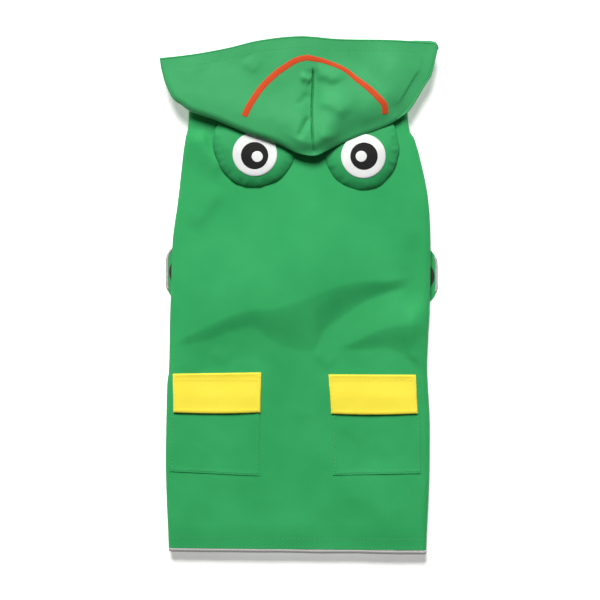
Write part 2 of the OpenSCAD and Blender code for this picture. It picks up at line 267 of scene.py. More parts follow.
MAIN_FOLD = [(-114, -44, -50, 0), (-103, -37, -44, 2.8), (-82, -27, -40, 5.4), (-62, -18, -32, 6.6),
             (-42, -12, -29, 7.4), (-27, -12, -38, 9.0), (-7, -7, -47, 10.8), (12, 1, -48, 11.0),
             (24, 5, -30, 9.6), (42, 11, -16, 8.0), (61, 14, -4, 6.6), (80, 14, 3, 4.6), (96, 17, 8, 2.0),
             (110, 20, 13, 0)]
RIGHT_FOLD = [(38, -44, -47, 0), (47, -42, -48, 1.4), (61, -35, -48, 3.3), (78, -28, -47, 5.0),
              (92, -26, -52, 6.6), (102, -26, -60, 7.6), (112, -28, -72, 7.8), (122, -31, -84, 7.8)]
PAD_FOLD = [(-64, 112), (-76, 122), (-84.5, 134), (-88, 150), (-89, 168)]
# Each crease's path, height, and widths above and below it, and for one the share where its ends fade.
COAT_CREASES = [
    ([(-99, 60), (-84, 79), (-69, 100)], 1.5, 14, 5),
    ([(40, -170), (66, -189), (94, -208)], 0.8, 16, 7),
    ([(-12, -97), (5, -103), (24, -109)], 0.6, 12, 5),
    ([(32, -112), (46, -121), (62, -132)], 0.6, 10, 4),
    ([(72, 30), (92, 35), (112, 34)], 0.7, 16, 8),
    ([(-98, -158), (-89, -146), (-81, -134)], 0.35, 8, 4),
    ([(-109, -59), (-100, -64), (-88, -66)], 0.6, 7, 3),
    ([(-81, -49), (-72, -54), (-61, -61)], 0.6, 7, 3),
    ([(13, -50), (21, -56), (31, -64)], 0.6, 7, 3),
    ([(97, -49), (107, -56), (112, -63), (117, -74)], 1.6, 7, 2.2, 0.35),
]


def step_fold(x, y, rows, up, tail=0.0):
    """A fold that rises over up to its top line and falls to its foot line.

    Each row gives x, the top line's y, the foot line's y and the fold's height. tail is the share of the
    height that is lost gently, over 26 mm more.
    """
    rows = np.array(rows, float)
    top_y, foot_y, height = (np.interp(x, *smooth_path(rows[:, [0, k]], 300).T) for k in (1, 2, 3))
    gap = np.maximum(top_y - foot_y, 1)
    t = np.clip((top_y - y) / gap, 0, 1)
    fall = 0.4 * smoothstep(t) + 0.6 * t
    gentle = np.clip((top_y - y) / (gap + 26), 0, 1)
    gentle = 0.5 * smoothstep(gentle) + 0.5 * gentle
    return height * (1 - fall - tail * (gentle - fall)) * bell(np.maximum(y - top_y, 0), up)


def back_height(x, y):
    """Height of the coat's upper side."""
    x, y = np.asarray(x, float), np.asarray(y, float)
    inside = np.minimum(x - edge_x(LEFT, y), edge_x(RIGHT, y) - x)
    main_tail = 0.55 - 0.3 * smoothstep((x + 45) / 40) - 0.25 * smoothstep((x - 15) / 25)
    folds = step_fold(x, y, MAIN_FOLD, 68, main_tail) + step_fold(x, y, RIGHT_FOLD, 32)
    folds = folds + sum(crease(x, y, *row) for row in COAT_CREASES)
    rumple = 0.45 * ripple(x, y, 55, 3.1) + 0.16 * ripple(x, y, 19, 7.7) + 0.05 * ripple(x, y, 7, 1.3)
    clear_of_hood = smoothstep((150 - y) / 30)
    hem_sag = 1.6 * smoothstep((HEM_Y + 26 - y) / 26)
    raised = (folds + rumple + 0.5) * smoothstep(inside / 17) * clear_of_hood
    raised = raised - hem_sag * smoothstep(inside / 8)
    over_strap = smoothstep((x - 88) / 20) * smoothstep((y + 26) / 32) * smoothstep((64 - y) / 26)
    raised = raised * (1 - 0.96 * over_strap)
    beside_pad = crease(x, y, PAD_FOLD, (1.5, 3.0, 4.0, 4.0), 9, 2.6, 0.2) * smoothstep((152 - y) / 14)
    return BACK_Z + raised + beside_pad - FOLD_R * (1 - quarter_round(inside, FOLD_R))


# ---- Meshes ----


def add_object(name, data):
    """A new object in the scene, with that mesh, lamp or camera."""
    obj = bpy.data.objects.new(name, data)
    bpy.context.scene.collection.objects.link(obj)
    return obj


def build(name, points, faces, materials, uv=None, face_material=None, sharp_deg=50):
    """An object from points in millimetres. uv holds each point's place on the flat cloth, in millimetres."""
    mesh = bpy.data.meshes.new(name)
    mesh.from_pydata((np.asarray(points, float) * MM).tolist(), [], [list(map(int, f)) for f in faces])
    for material in materials:
        mesh.materials.append(material)
    if face_material is not None:
        mesh.polygons.foreach_set("material_index", np.asarray(face_material, np.int32))
    if uv is not None:
        layer = mesh.uv_layers.new(name="cloth")
        corners = np.zeros(len(mesh.loops), np.int32)
        mesh.loops.foreach_get("vertex_index", corners)
        layer.data.foreach_set("uv", np.asarray(uv, float)[corners].astype(np.float32).ravel())
    mesh.validate()
    mesh.shade_smooth()
    mesh.set_sharp_from_angle(angle=math.radians(sharp_deg))
    return add_object(name, mesh)


def grid_normals(p):
    """A unit normal at each place of a grid of points."""
    a, b, c, d = p[:-1, :-1], p[:-1, 1:], p[1:, 1:], p[1:, :-1]
    face = np.cross(c - a, d - b)
    total = np.zeros_like(p)
    for rows, cols in ((slice(None, -1), slice(None, -1)), (slice(None, -1), slice(1, None)),
                       (slice(1, None), slice(1, None)), (slice(1, None), slice(None, -1))):
        total[rows, cols] += face
    return total / np.maximum(np.linalg.norm(total, axis=2, keepdims=True), 1e-9)


def quads(rows, cols, first=0, flip=False):
    """The faces of a grid of points."""
    r, c = np.meshgrid(np.arange(rows - 1), np.arange(cols - 1), indexing="ij")
    a = (r * cols + c + first).ravel()
    f = np.stack([a, a + 1, a + cols + 1, a + cols], axis=1)
    return f[:, ::-1] if flip else f


def rim_faces(rows, cols, second):
    """Faces that close the sides between two equal grids, the second starting at that point."""
    index = np.arange(rows * cols).reshape(rows, cols)
    loop = np.concatenate([index[0, :-1], index[:-1, -1], index[-1, :0:-1], index[:0:-1, 0]])
    after = np.roll(loop, -1)
    return np.stack([loop, loop + second, after + second, after], axis=1)


def cloth(name, outer, uv, materials, thickness=CLOTH_T, flip=False, hem_rows=0, hem_cols=0):
    """A closed sheet of cloth. Its outer side is the grid of points, and its inner side has materials[-1].

    The last hem_rows rows and the first hem_cols columns of the inner side are outer cloth, turned inwards.
    """
    normal = grid_normals(outer) * (-1 if flip else 1)
    inner = outer - normal * thickness
    rows, cols = outer.shape[:2]
    n = rows * cols
    up, down = quads(rows, cols, 0, flip), quads(rows, cols, n, not flip)
    rim = rim_faces(rows, cols, n)
    if flip:
        rim = rim[:, ::-1]
    faces = np.vstack([up, down, rim])
    inner_side = np.full((rows - 1, cols - 1), len(materials) - 1)
    inner_side[rows - 1 - hem_rows :] = 0
    inner_side[:, :hem_cols] = 0
    which = np.zeros(len(faces), int)
    which[len(up) : len(up) + len(down)] = inner_side.ravel()
    points = np.vstack([outer.reshape(-1, 3), inner.reshape(-1, 3)])
    flat = np.reshape(uv, (-1, 2))
    return build(name, points, faces, materials, np.vstack([flat, flat]), which)


def tube(name, path, materials, half_width, half_height, around=12, taper=1.0):
    """A tube with an oval section along a path. taper is the share of its width left at its ends."""
    path = np.asarray(path, float)
    ahead = heading(path)
    across = np.cross(ahead, (0, 0, 1))
    across /= np.maximum(np.linalg.norm(across, axis=1)[:, None], 1e-9)
    rise = np.cross(across, ahead)
    turn = np.linspace(0, 2 * math.pi, around, endpoint=False)
    ends = np.ones((len(path), 1, 1))
    ends[[0, -1]] = taper
    ring = (
        path[:, None]
        + across[:, None] * (np.cos(turn) * half_width)[None, :, None] * ends
        + rise[:, None] * (np.sin(turn) * half_height)[None, :, None] * ends
    )
    index = np.arange(len(path) * around).reshape(-1, around)
    after = np.roll(index, -1, axis=1)
    side = np.stack([index[:-1], after[:-1], after[1:], index[1:]], axis=-1).reshape(-1, 4)
    faces = [list(f[::-1]) for f in side] + [list(index[0]), list(index[-1][::-1])]
    steps = np.concatenate([[0], np.cumsum(np.linalg.norm(np.diff(path, axis=0), axis=1))])
    girth = turn * max(half_width, half_height)
    uv = joined(girth, steps[:, None]).reshape(-1, 2)
    return build(name, ring.reshape(-1, 3), faces, materials, uv)


def stitches(name, paths, material):
    """Rows of separate stitches along paths that lie on the cloth."""
    points, faces = [], []
    for path in paths:
        count = max(2, int(path_length(path) / (STITCH + STITCH_GAP)))
        ends = np.arange(count)[:, None] + [0, STITCH / (STITCH + STITCH_GAP)]
        for a, b in places(path, ends.ravel() / count).reshape(count, 2, -1):
            ahead = (b - a) / max(np.linalg.norm(b - a), 1e-9)
            across = np.cross(ahead, (0, 0, 1))
            across /= max(np.linalg.norm(across), 1e-9)
            rise = np.cross(across, ahead)
            first = len(points)
            points.append(a - rise * STITCH_DIP)
            for share in (0.2, 0.8):
                mid = a + (b - a) * share
                points.extend([mid + across * THREAD_R, mid + rise * THREAD_R,
                               mid - across * THREAD_R, mid - rise * THREAD_R])
            points.append(b - rise * STITCH_DIP)
            for k in range(4):
                k2 = (k + 1) % 4
                faces.append([first, first + 1 + k, first + 1 + k2])
                faces.append([first + 1 + k, first + 5 + k, first + 5 + k2, first + 1 + k2])
                faces.append([first + 9, first + 5 + k2, first + 5 + k])
    return build(name, points, faces, [material], sharp_deg=180)


def on_surface(xy, height, lift=0.0):
    """Places of a flat path, put on a surface."""
    xy = np.asarray(xy, float)
    return np.column_stack([xy, height(xy[:, 0], xy[:, 1]) + lift])


def fit(obj, body, slot, *nodes):
    """obj moves with a body and stands for CAD nodes; slot is not used."""
    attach(obj, body)
    if nodes:
        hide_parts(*nodes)
    return obj


def bend(obj, bodies, start, end, slot, *nodes):
    """Bakes obj's placement into its mesh and hides CAD nodes; bodies, start, end and slot are not used."""
    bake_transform(obj)
    if nodes:
        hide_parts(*nodes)
    return obj


# ---- Materials ----


class Shader:
    """A Principled material under construction."""

    def __init__(self, name):
        self.material = bpy.data.materials.new(name)
        self.material.use_nodes = True
        self.nodes = self.material.node_tree.nodes
        self.links = self.material.node_tree.links
        self.surface = self.nodes["Principled BSDF"]

    def add(self, kind, **values):
        """A new shader node with its own values set."""
        node = self.nodes.new(kind)
        for key, value in values.items():
            setattr(node, key, value)
        return node

    def math(self, operation, a, b=None):
        """The outcome of an operation on one or two values, each a number or a socket."""
        node = self.add("ShaderNodeMath", operation=operation)
        for socket, value in zip(node.inputs, (a, b)):
            if value is None:
                continue
            if isinstance(value, (int, float)):
                socket.default_value = value
            else:
                self.links.new(value, socket)
        return node.outputs[0]

    def set(self, **values):
        """Sets the surface's constant values."""
        for key, value in values.items():
            self.surface.inputs[key.replace("_", " ")].default_value = value

    def finish(self, color, normal, **values):
        """Joins the colour and the bump to the surface, sets its other values, and gives the material."""
        self.links.new(color, self.surface.inputs["Base Color"])
        self.links.new(normal, self.surface.inputs["Normal"])
        self.set(**values)
        return self.material

    def object_place(self):
        """Places in the object's own frame, in metres."""
        return self.add("ShaderNodeTexCoord").outputs["Object"]

    def cells(self, place, scale, randomness):
        """Distance from the middles of close-packed cells."""
        node = self.add("ShaderNodeTexVoronoi", feature="F1")
        node.inputs["Scale"].default_value = scale
        node.inputs["Randomness"].default_value = randomness
        self.links.new(place, node.inputs["Vector"])
        return node.outputs["Distance"]

    def cloth_place(self):
        """The flat cloth's own coordinates, in millimetres."""
        place = self.add("ShaderNodeUVMap", uv_map="cloth")
        split = self.add("ShaderNodeSeparateXYZ")
        self.links.new(place.outputs[0], split.inputs[0])
        return place.outputs[0], split.outputs[0], split.outputs[1]

    def noise(self, place, size, detail=3.0, roughness=0.55):
        """Noise with bumps of that size, in the unit of place."""
        node = self.add("ShaderNodeTexNoise")
        node.inputs["Scale"].default_value = 1.0 / size
        node.inputs["Detail"].default_value = detail
        node.inputs["Roughness"].default_value = roughness
        self.links.new(place, node.inputs["Vector"])
        return node.outputs["Fac"]

    def ramp(self, value, stops):
        """A colour that follows a value through stops of place and colour."""
        node = self.add("ShaderNodeValToRGB")
        ramp = node.color_ramp
        while len(ramp.elements) < len(stops):
            ramp.elements.new(0.5)
        for element, (place, color) in zip(ramp.elements, stops):
            element.position = place
            element.color = (*color, 1)
        self.links.new(value, node.inputs[0])
        return node.outputs[0]

    def bump(self, height, distance_mm, strength=1.0, normal=None):
        """Relief from a height, on top of another relief where normal gives one."""
        node = self.add("ShaderNodeBump")
        node.inputs["Strength"].default_value = strength
        node.inputs["Distance"].default_value = distance_mm * MM
        self.links.new(height, node.inputs["Height"])
        if normal is not None:
            self.links.new(normal, node.inputs["Normal"])
        return node.outputs[0]

    def mix(self, factor, a, b):
        """A blend of two colours, each a tuple or a socket."""
        node = self.add("ShaderNodeMix", data_type="RGBA")
        self.links.new(factor, node.inputs[0])
        for socket, value in ((node.inputs[6], a), (node.inputs[7], b)):
            if isinstance(value, tuple):
                socket.default_value = (*value, 1)
            else:
                self.links.new(value, socket)
        return node.outputs[2]


def scaled(color, share):
    """A colour made darker or lighter."""
    return tuple(min(1, share * c) for c in color)


def woven(name, dark, light, roughness=0.66, pitch=0.9, crumple=0.12):
    """Coated plain weave: crossing threads, a little crumple, a slow drift of colour and painted shade in the
    weave's valleys.
    """
    s = Shader(name)
    place, u, v = s.cloth_place()
    turns = 2 * math.pi / pitch
    over = s.math("SINE", s.math("MULTIPLY", u, turns))
    under = s.math("SINE", s.math("MULTIPLY", v, turns))
    threads = s.math("MULTIPLY", over, under)
    drift = s.noise(place, 60, 2)
    speck = s.noise(place, 1.6, 2)
    color = s.ramp(drift, [(0.3, dark), (0.7, light)])
    # Painted shade: the colour darkens in the weave's valleys.
    valley_shade = s.math("MULTIPLY", s.math("ADD", s.math("MULTIPLY", threads, -0.5), 0.5), 0.16)
    color = s.mix(valley_shade, color, scaled(dark, 0.55))
    color = s.mix(s.math("MULTIPLY", speck, 0.10), color, scaled(light, 1.25))
    rough = s.math("ADD", s.math("MULTIPLY", speck, 0.12), roughness - 0.06)
    s.links.new(rough, s.surface.inputs["Roughness"])
    weave = s.bump(threads, 0.05, 0.8, s.bump(s.noise(place, 9, 3), crumple))
    return s.finish(color, weave, Sheen_Weight=0.01, Sheen_Roughness=0.4, Specular_IOR_Level=0.13)


def mesh_knit(name, thread, hole_shade):
    """Fine knitted mesh with small round holes, painted dark green: the cloth behind them, partly its own
    green and partly painted shade.
    """
    s = Shader(name)
    knit = s.cells(s.cloth_place()[0], 0.55, 0.15)
    # Painted shade: the holes are coloured dark green, as the shaded cloth seen through them.
    color = s.ramp(knit, [(0.22, hole_shade), (0.36, thread)])
    return s.finish(color, s.bump(knit, 0.25), Roughness=0.8, Sheen_Weight=0.2)


def reflective(name, color):
    """Grey reflective tape: fine ribs, and glass beads whose grey changes from bead to bead as their own
    grain and as painted sparkle.
    """
    s = Shader(name)
    place, _, v = s.cloth_place()
    ribs = s.math("SINE", s.math("MULTIPLY", v, 2 * math.pi / 1.1))
    beads_and_sparkle = s.noise(place, 0.35, 1)
    # The grey goes lighter and darker from bead to bead: the beads' own grain and painted sparkle.
    tint = s.ramp(beads_and_sparkle, [(0.35, scaled(color, 0.78)), (0.65, scaled(color, 1.2))])
    relief = s.bump(beads_and_sparkle, 0.04, 0.6, s.bump(ribs, 0.08))
    return s.finish(tint, relief, Roughness=0.42, Metallic=0.25, Specular_IOR_Level=0.6)


def felt(name, color, fuzz=0.15):
    """Smooth dense felt."""
    s = Shader(name)
    fibres = s.noise(s.object_place(), 0.0009, 4, 0.7)
    tint = s.ramp(fibres, [(0.3, scaled(color, 0.88)), (0.7, scaled(color, 1.04))])
    relief = s.bump(fibres, 0.12, 0.7)
    return s.finish(tint, relief, Roughness=0.78, Sheen_Weight=fuzz, Specular_IOR_Level=0.25)


def touch_tape(name, color, size=0.0011, depth=0.5):
    """Hook or loop tape: rows of tiny hooks, or a looped pile."""
    s = Shader(name)
    pile = s.cells(s.object_place(), 1 / size, 0.35)
    tint = s.ramp(pile, [(0.15, scaled(color, 1.5)), (0.6, color)])
    return s.finish(tint, s.bump(pile, depth), Roughness=0.6, Specular_IOR_Level=0.4)


def thread(name, color):
    """Twisted sewing thread."""
    s = Shader(name)
    twist = s.noise(s.object_place(), 0.0004, 2)
    tint = s.ramp(twist, [(0.3, scaled(color, 0.8)), (0.7, color)])
    return s.finish(tint, s.bump(twist, 0.05), Roughness=0.5, Sheen_Weight=0.2)


green = woven("coat_green", (0.022, 0.310, 0.088), (0.034, 0.360, 0.110))
hood_green = woven("hood_green", (0.034, 0.300, 0.096), (0.048, 0.350, 0.122), roughness=0.58)
pad_green = woven("pad_green", (0.020, 0.262, 0.078), (0.030, 0.308, 0.098), crumple=0.2)
yellow = woven("flap_yellow", (0.84, 0.69, 0.045), (0.90, 0.75, 0.065), crumple=0.06)
orange = woven("mouth_orange", (0.50, 0.052, 0.011), (0.62, 0.074, 0.018), pitch=0.7, crumple=0.05)
grey = reflective("piping_grey", (0.36, 0.35, 0.34))
lining = mesh_knit("lining_mesh", (0.42, 0.55, 0.44), (0.05, 0.16, 0.08))
white_felt = felt("eye_white_felt", (0.70, 0.71, 0.70))
black_felt = felt("pupil_felt", (0.006, 0.0055, 0.0055), 0.03)
black_tape = touch_tape("black_hook", (0.012, 0.013, 0.013))
green_tape = touch_tape("green_loop", (0.03, 0.22, 0.07), 0.0008, 0.3)
yellow_tape = touch_tape("yellow_hook", (0.72, 0.60, 0.05))
green_thread = thread("green_thread", (0.036, 0.370, 0.116))
yellow_thread = thread("yellow_thread", (0.88, 0.74, 0.05))


# ---- Back ----


def back_columns(count, edge_steps):
    """Shares across the coat, close together at both side folds; edge_steps are in millimetres."""
    width = 2 * FOLD_X
    near = np.array(edge_steps) / width
    middle = np.linspace(near[-1], 1 - near[-1], count)[1:-1]
    return np.concatenate([near, middle, 1 - near[::-1]])


def hem_rise(x):
    """How far the hem is drawn up, less and less from left to right."""
    return 3.3 - x / 118


def below_face_edge(x, y):
    """Moves places near the neck so that they stay under the hood's face edge."""
    limit = np.minimum(NECK_Y - 0.4, np.interp(x, face_edge[:, 0], face_edge[:, 1]) - 4)
    return np.where(y > 190, 190 + (y - 190) * (limit - 190) / (NECK_Y - 190), y)


def back_grid(y_low, y_high, rows, inset=0.0, count=110):
    """Places all over the coat from y_low to y_high, inset from its side folds."""
    y = np.linspace(y_low, y_high, rows)[:, None]
    share = back_columns(count, [0, 0.15, 0.5, 1.0, 1.8, 2.8, 4.0, 5.4, 7.5])[None, :]
    low, high = edge_x(LEFT, y) + inset, edge_x(RIGHT, y) - inset
    x = low + (high - low) * share
    return x, np.broadcast_to(y, x.shape)


def make_back():
    """The coat's outer cloth, and the mesh lining under it."""
    x, y = back_grid(HEM_Y, NECK_Y - 0.4, 232)
    y = below_face_edge(x, y + hem_rise(x) * smoothstep((HEM_Y + 60 - y) / 60))
    outer = joined(x, y, back_height(x, y))
    shell = cloth("back_shell", outer, outer[..., :2], [green, lining], 1.0)
    fit(shell, "back", "green_fabric", "back_panel", "neck_tape")
    x, y = back_grid(HEM_Y + 8, NECK_Y - 20, 90, inset=7, count=50)
    level = np.minimum(back_height(x, y), BACK_Z + 3) - 1.35
    inner = joined(x, y, level)
    mesh = cloth("mesh_lining", inner, inner[..., :2], [lining], 0.5)
    fit(mesh, "back", "mesh_lining", "back_lining")
    return shell, outer


def folded_panel(name, side, ends, x_free, body, node, radius=FOLD_R, corners=(0, 0), rows=120, cols=28):
    """The cloth that goes on round a side fold and lies under the coat as far as x_free.

    ends are its lowest and highest y, and corners the radius of its free corner at each of them.
    """
    y = np.linspace(*ends, rows)[:, None]
    edge = np.abs(edge_x(side, y))
    free = x_free + 0 * y
    for corner, gap in zip(corners, (y - ends[0], ends[1] - y)):
        if corner:
            short = np.clip(corner - gap, 0, corner)
            free = free + corner - np.sqrt(corner**2 - short**2)
    turn = np.linspace(0, math.pi / 2, 9)
    run = (edge - radius - free) * np.linspace(0, 1, cols)[1:]
    under = edge - radius - run
    wave = 0.25 * ripple(under, y + 0 * under, 30, 5.0 + side) * smoothstep(run / 10)
    x = np.hstack([edge - radius + radius * np.cos(turn), under])
    z = np.hstack([FOLD_Z - radius * np.sin(turn) + 0 * y, FOLD_Z - radius + wave])
    u = np.hstack([edge + radius * turn, edge + radius * math.pi / 2 + run])
    outer = joined(side * x, y, z)
    flat = joined(side * u, y)
    panel = cloth(name, outer, flat, [green, lining], CLOTH_T - 0.2, flip=side == LEFT, hem_cols=10)
    if body == "back":
        fit(panel, "back", "green_fabric", node)
    else:
        bend(panel, ("back", body), (side * FOLD_X, 0, FOLD_Z), (side * FOLD_X, 0, FOLD_Z - 0.8 * radius),
             "green_fabric", node)
    return panel, outer


def rounded_edge(x_open, x_free, y_low, y_high, corner_low, corner_high):
    """The path along a folded-under panel's free edges, from its low open end to its high one."""
    a = np.linspace(0, math.pi / 2, 11)
    low = np.column_stack([x_free + corner_low * (1 - np.sin(a)), y_low + corner_low * (1 - np.cos(a))])
    high = np.column_stack([x_free + corner_high * (1 - np.cos(a)), y_high - corner_high * (1 - np.sin(a))])
    return np.vstack([[x_open, y_low], low, high, [x_open, y_high]])


def bound_edge(name, side, run, level, half_width, half_height):
    """Grey binding along a flat run, given for the right side, at one level."""
    return tube(name, joined(side * run[:, 0], run[:, 1], level), [grey], half_width, half_height)


def make_side(side):
    """The rear side of the coat, folded under, with the belly strap on it."""
    name = SIDE_NAMES[side]
    flap_low, flap_high = node_box(f"{name}_side_piping")
    strap_low, strap_high = node_box(f"{name}_strap_binding")
    x_free = min(abs(flap_low[0]), abs(flap_high[0]))
    y_low = HEM_Y + hem_rise(side * FOLD_X) + 0.8
    y_high = flap_high[1] - 0.6
    corner = 24
    panel, outer = folded_panel(f"{name}_side_panel", side, (y_low, y_high), x_free + 1, f"{name}_side",
                                f"{name}_side_flap", corners=(corner, 0), rows=150)
    level = FOLD_Z - FOLD_R + CLOTH_T / 2 - 0.1
    loop = rounded_edge(FOLD_X - 7, x_free + 1.2, y_low, y_high, corner, 2)
    before = np.vstack([loop[loop[:, 1] < strap_low[1] - 1], [x_free + 1.2, strap_low[1] - 1]])
    after = loop[loop[:, 1] > strap_high[1] + 1]
    for k, run in enumerate((before, after)):
        run = resample(run, int(path_length(run) / 3) + 2)
        piece = bound_edge(f"{name}_side_piping_{k}", side, run, level, 1.6, 1.4)
        stands_for = [f"{name}_side_piping"] if k == 0 else []
        fit(piece, f"{name}_side", "reflective_piping", *stands_for)
    make_strap(side, strap_low, strap_high)


# How far each strap's end lies out of and above its CAD box, its hook patch's y, and the ys between which
# its round end is bound.
STRAP_ENDS = {LEFT: (-4.2, 4, 22.5, (6, 43)), RIGHT: (0.8, 1, 18.5, (4, 36))}


def make_strap(side, low, high):
    """A belly strap with a round end, which has piping and a round-ended hook patch."""
    name = SIDE_NAMES[side]
    shift_out, shift_up, hook_y, bound = STRAP_ENDS[side]
    x_hinge, x_end = sorted((abs(low[0]), abs(high[0])))
    x_end += shift_out
    y_low, y_high = low[1] + shift_up, high[1] + shift_up
    corner = 17
    half, mid = (y_high - y_low) / 2, (y_low + y_high) / 2
    x = np.linspace(x_hinge, x_end, 44)
    over = np.clip(x - (x_end - corner), 0, corner)
    half_width = half - corner + np.sqrt(corner**2 - over**2)
    share = np.linspace(-1, 1, 24)
    gy = mid + half_width[:, None] * share
    gx = x[:, None] + 0 * gy
    gz = STRAP_Z + 0.1 * ripple(gx, gy, 16, 2.0 + side)
    panel_z = FOLD_Z - FOLD_R
    round_r = (panel_z - STRAP_Z) / 2
    turn = np.linspace(math.pi / 2, math.pi * 1.4, 8)
    root_x = np.concatenate([x_hinge + np.array([4, 2, 0.6]), x_hinge + round_r * np.cos(turn)])
    root_z = np.concatenate([np.full(3, panel_z + 0.12), panel_z - round_r + round_r * np.sin(turn)])
    root = joined(side * root_x[:, None], mid + half * share, root_z[:, None])
    outer = np.concatenate([root, joined(side * gx, gy, gz)[1:]])
    along = np.concatenate([[0], np.cumsum(np.linalg.norm(np.diff(outer[:, 0], axis=0), axis=1))])
    uv = joined(along[:, None], outer[..., 1])
    strap = cloth(f"{name}_strap", outer, uv, [green], 1.1, flip=side == RIGHT)
    hinge_z = panel_z - round_r
    bend(strap, (f"{name}_side", f"{name}_strap"), (0, 0, hinge_z + 0.25), (0, 0, hinge_z - 0.25),
         "green_fabric", f"{name}_belly_strap")
    turn = np.linspace(-math.pi / 2, math.pi / 2, 120)
    bend_x = x_end - corner + (corner - 0.6) * np.cos(turn)
    bend_y = mid + np.sin(turn) * (corner - 0.6) + np.sign(turn) * (half - corner)
    kept = (bend_y > bound[0]) & (bend_y < bound[1])
    run = resample(joined(side * bend_x, bend_y, 0.95)[kept], 60)
    binding = tube(f"{name}_strap_edge", run, [grey], 1.25, 0.85, taper=0.5)
    fit(binding, f"{name}_strap", "reflective_piping", f"{name}_strap_binding")
    hook_x = x_end - 2.4
    hook_r, hook_straight = 14, 8
    steps = np.linspace(0, 1, 12)[:, None]
    around = np.linspace(-math.pi / 2, math.pi / 2, 31)[None, :]
    px = hook_x - hook_r + hook_r * np.cos(around) * steps - hook_straight * (1 - steps)
    py = hook_y + hook_r * np.sin(around)
    patch_grid = joined(side * px, py, 1.75)
    patch = cloth(f"{name}_strap_hook_patch", patch_grid, joined(px, py), [black_tape], 0.7,
                  flip=side == RIGHT)
    fit(patch, f"{name}_strap", "black_hook_tape", f"{name}_strap_hook")


def make_chest(side):
    """A chest flap, folded under, with its binding and touch tape."""
    name = SIDE_NAMES[side]
    low, high = node_box(f"{name}_chest_binding")
    high[1] -= 6
    x_free = min(abs(low[0]), abs(high[0]))
    corner = 26
    panel, outer = folded_panel(f"{name}_chest_panel", side, (low[1], high[1]), x_free, f"{name}_chest",
                                f"{name}_chest_flap", corners=(corner, corner), rows=70, cols=34)
    loop = rounded_edge(CHEST_X - 6, x_free + 0.4, low[1], high[1], corner, corner)
    run = resample(loop, int(path_length(loop) / 2.5))
    binding = bound_edge(f"{name}_chest_edge", side, run, FOLD_Z - FOLD_R + 0.5, 1.9, 1.0)
    fit(binding, f"{name}_chest", "reflective_piping", f"{name}_chest_binding")
    tape = f"{name}_chest_hook" if side == LEFT else f"{name}_chest_loop"
    paint(tape, black_tape)


def make_leg_edge(side):
    """The turned-under edge of a leg opening."""
    name = SIDE_NAMES[side]
    low, high = node_box(f"{name}_leg_edge")

    def inner_edge(y):
        return np.abs(edge_x(side, y)) - 14

    x_free = inner_edge(np.linspace(low[1], high[1], 46)[:, None])
    panel, outer = folded_panel(f"{name}_leg_panel", side, (low[1], high[1]), x_free, "back",
                                f"{name}_leg_edge", radius=FOLD_Z - 0.3, rows=46, cols=10)
    y = np.linspace(low[1], high[1], 40)
    binding = bound_edge(f"{name}_leg_binding", side, joined(inner_edge(y), y), 1.0, 1.5, 0.9)
    fit(binding, "back", "reflective_piping")


def paint(node, material):
    """Gives a CAD node that stays in view its material."""
    obj = frame["nodes"][node]
    obj.data.materials.clear()
    obj.data.materials.append(material)


def make_hem():
    """Reflective piping along the hem, and the two rows of stitches above it."""
    low, high = node_box("hem_piping")
    radius = (high[1] - low[1]) / 2
    x = np.linspace(edge_x(LEFT, HEM_Y) + 0.6, edge_x(RIGHT, HEM_Y) - 0.4, 130)
    wave = 0.35 * ripple(x, 0 * x, 34, 9.0)
    y = HEM_Y + hem_rise(x) - radius - 0.7 * ((x + FOLD_X) / (2 * FOLD_X)) ** 2 + wave
    path = joined(x, y, back_height(x, y + 2) - 0.9)
    piping = tube("hem_tube", path, [grey], 1.15 * radius, radius * 0.9, around=16, taper=0.7)
    fit(piping, "back", "reflective_piping", "hem_piping")
    rows = []
    for gap in (2.0, 9.5):
        x = np.linspace(edge_x(LEFT, HEM_Y) + 3, edge_x(RIGHT, HEM_Y) - 3, 260)
        rows.append(on_surface(joined(x, HEM_Y + hem_rise(x) + gap), back_height))
    fit(stitches("hem_stitches", rows, green_thread), "back", "green_fabric")
    return piping


# ---- Pockets ----

# How far the corners of each pocket and flap lie from their CAD boxes, to follow the photo.
POCKET_SHIFTS = {
    LEFT: [(-2.2, 2), (-1, -2), (-0.8, 5), (-0.5, 5)],
    RIGHT: [(2.6, -1.4), (1.5, 0.2), (0.5, 5), (0.2, 5)],
}
FLAP_SHIFTS = {
    LEFT: [(1, 1), (0.3, 1), (0.4, 1.8), (1, 0.6)],
    RIGHT: [(0.4, -0.2), (-0.8, 0), (-3, -0.3), (-1.4, 0)],
}


def corner_grid(corners, across, along):
    """A grid of flat places between four corners, given anticlockwise from the lower left."""
    a, b, c, d = (np.array(p, float) for p in corners)
    return span(np.linspace(a, b, across), np.linspace(d, c, across), np.linspace(0, 1, along))


def moved_corners(low, high, shifts):
    """A box's four corners, anticlockwise from the lower left, each with its own shift."""
    box = [(low[0], low[1]), (high[0], low[1]), (high[0], high[1]), (low[0], high[1])]
    return [(x + dx, y + dy) for (x, y), (dx, dy) in zip(box, shifts)]


def inset_loop(corners, gap, sides):
    """Straight runs inside four corners, a gap away from the edges. sides names which edges, by index."""
    pts = [np.array(p, float) for p in corners]
    mid = sum(pts) / 4
    inner = [p - np.sign(p - mid) * gap for p in pts]
    return [np.linspace(inner[i], inner[(i + 1) % 4], 50) for i in sides]


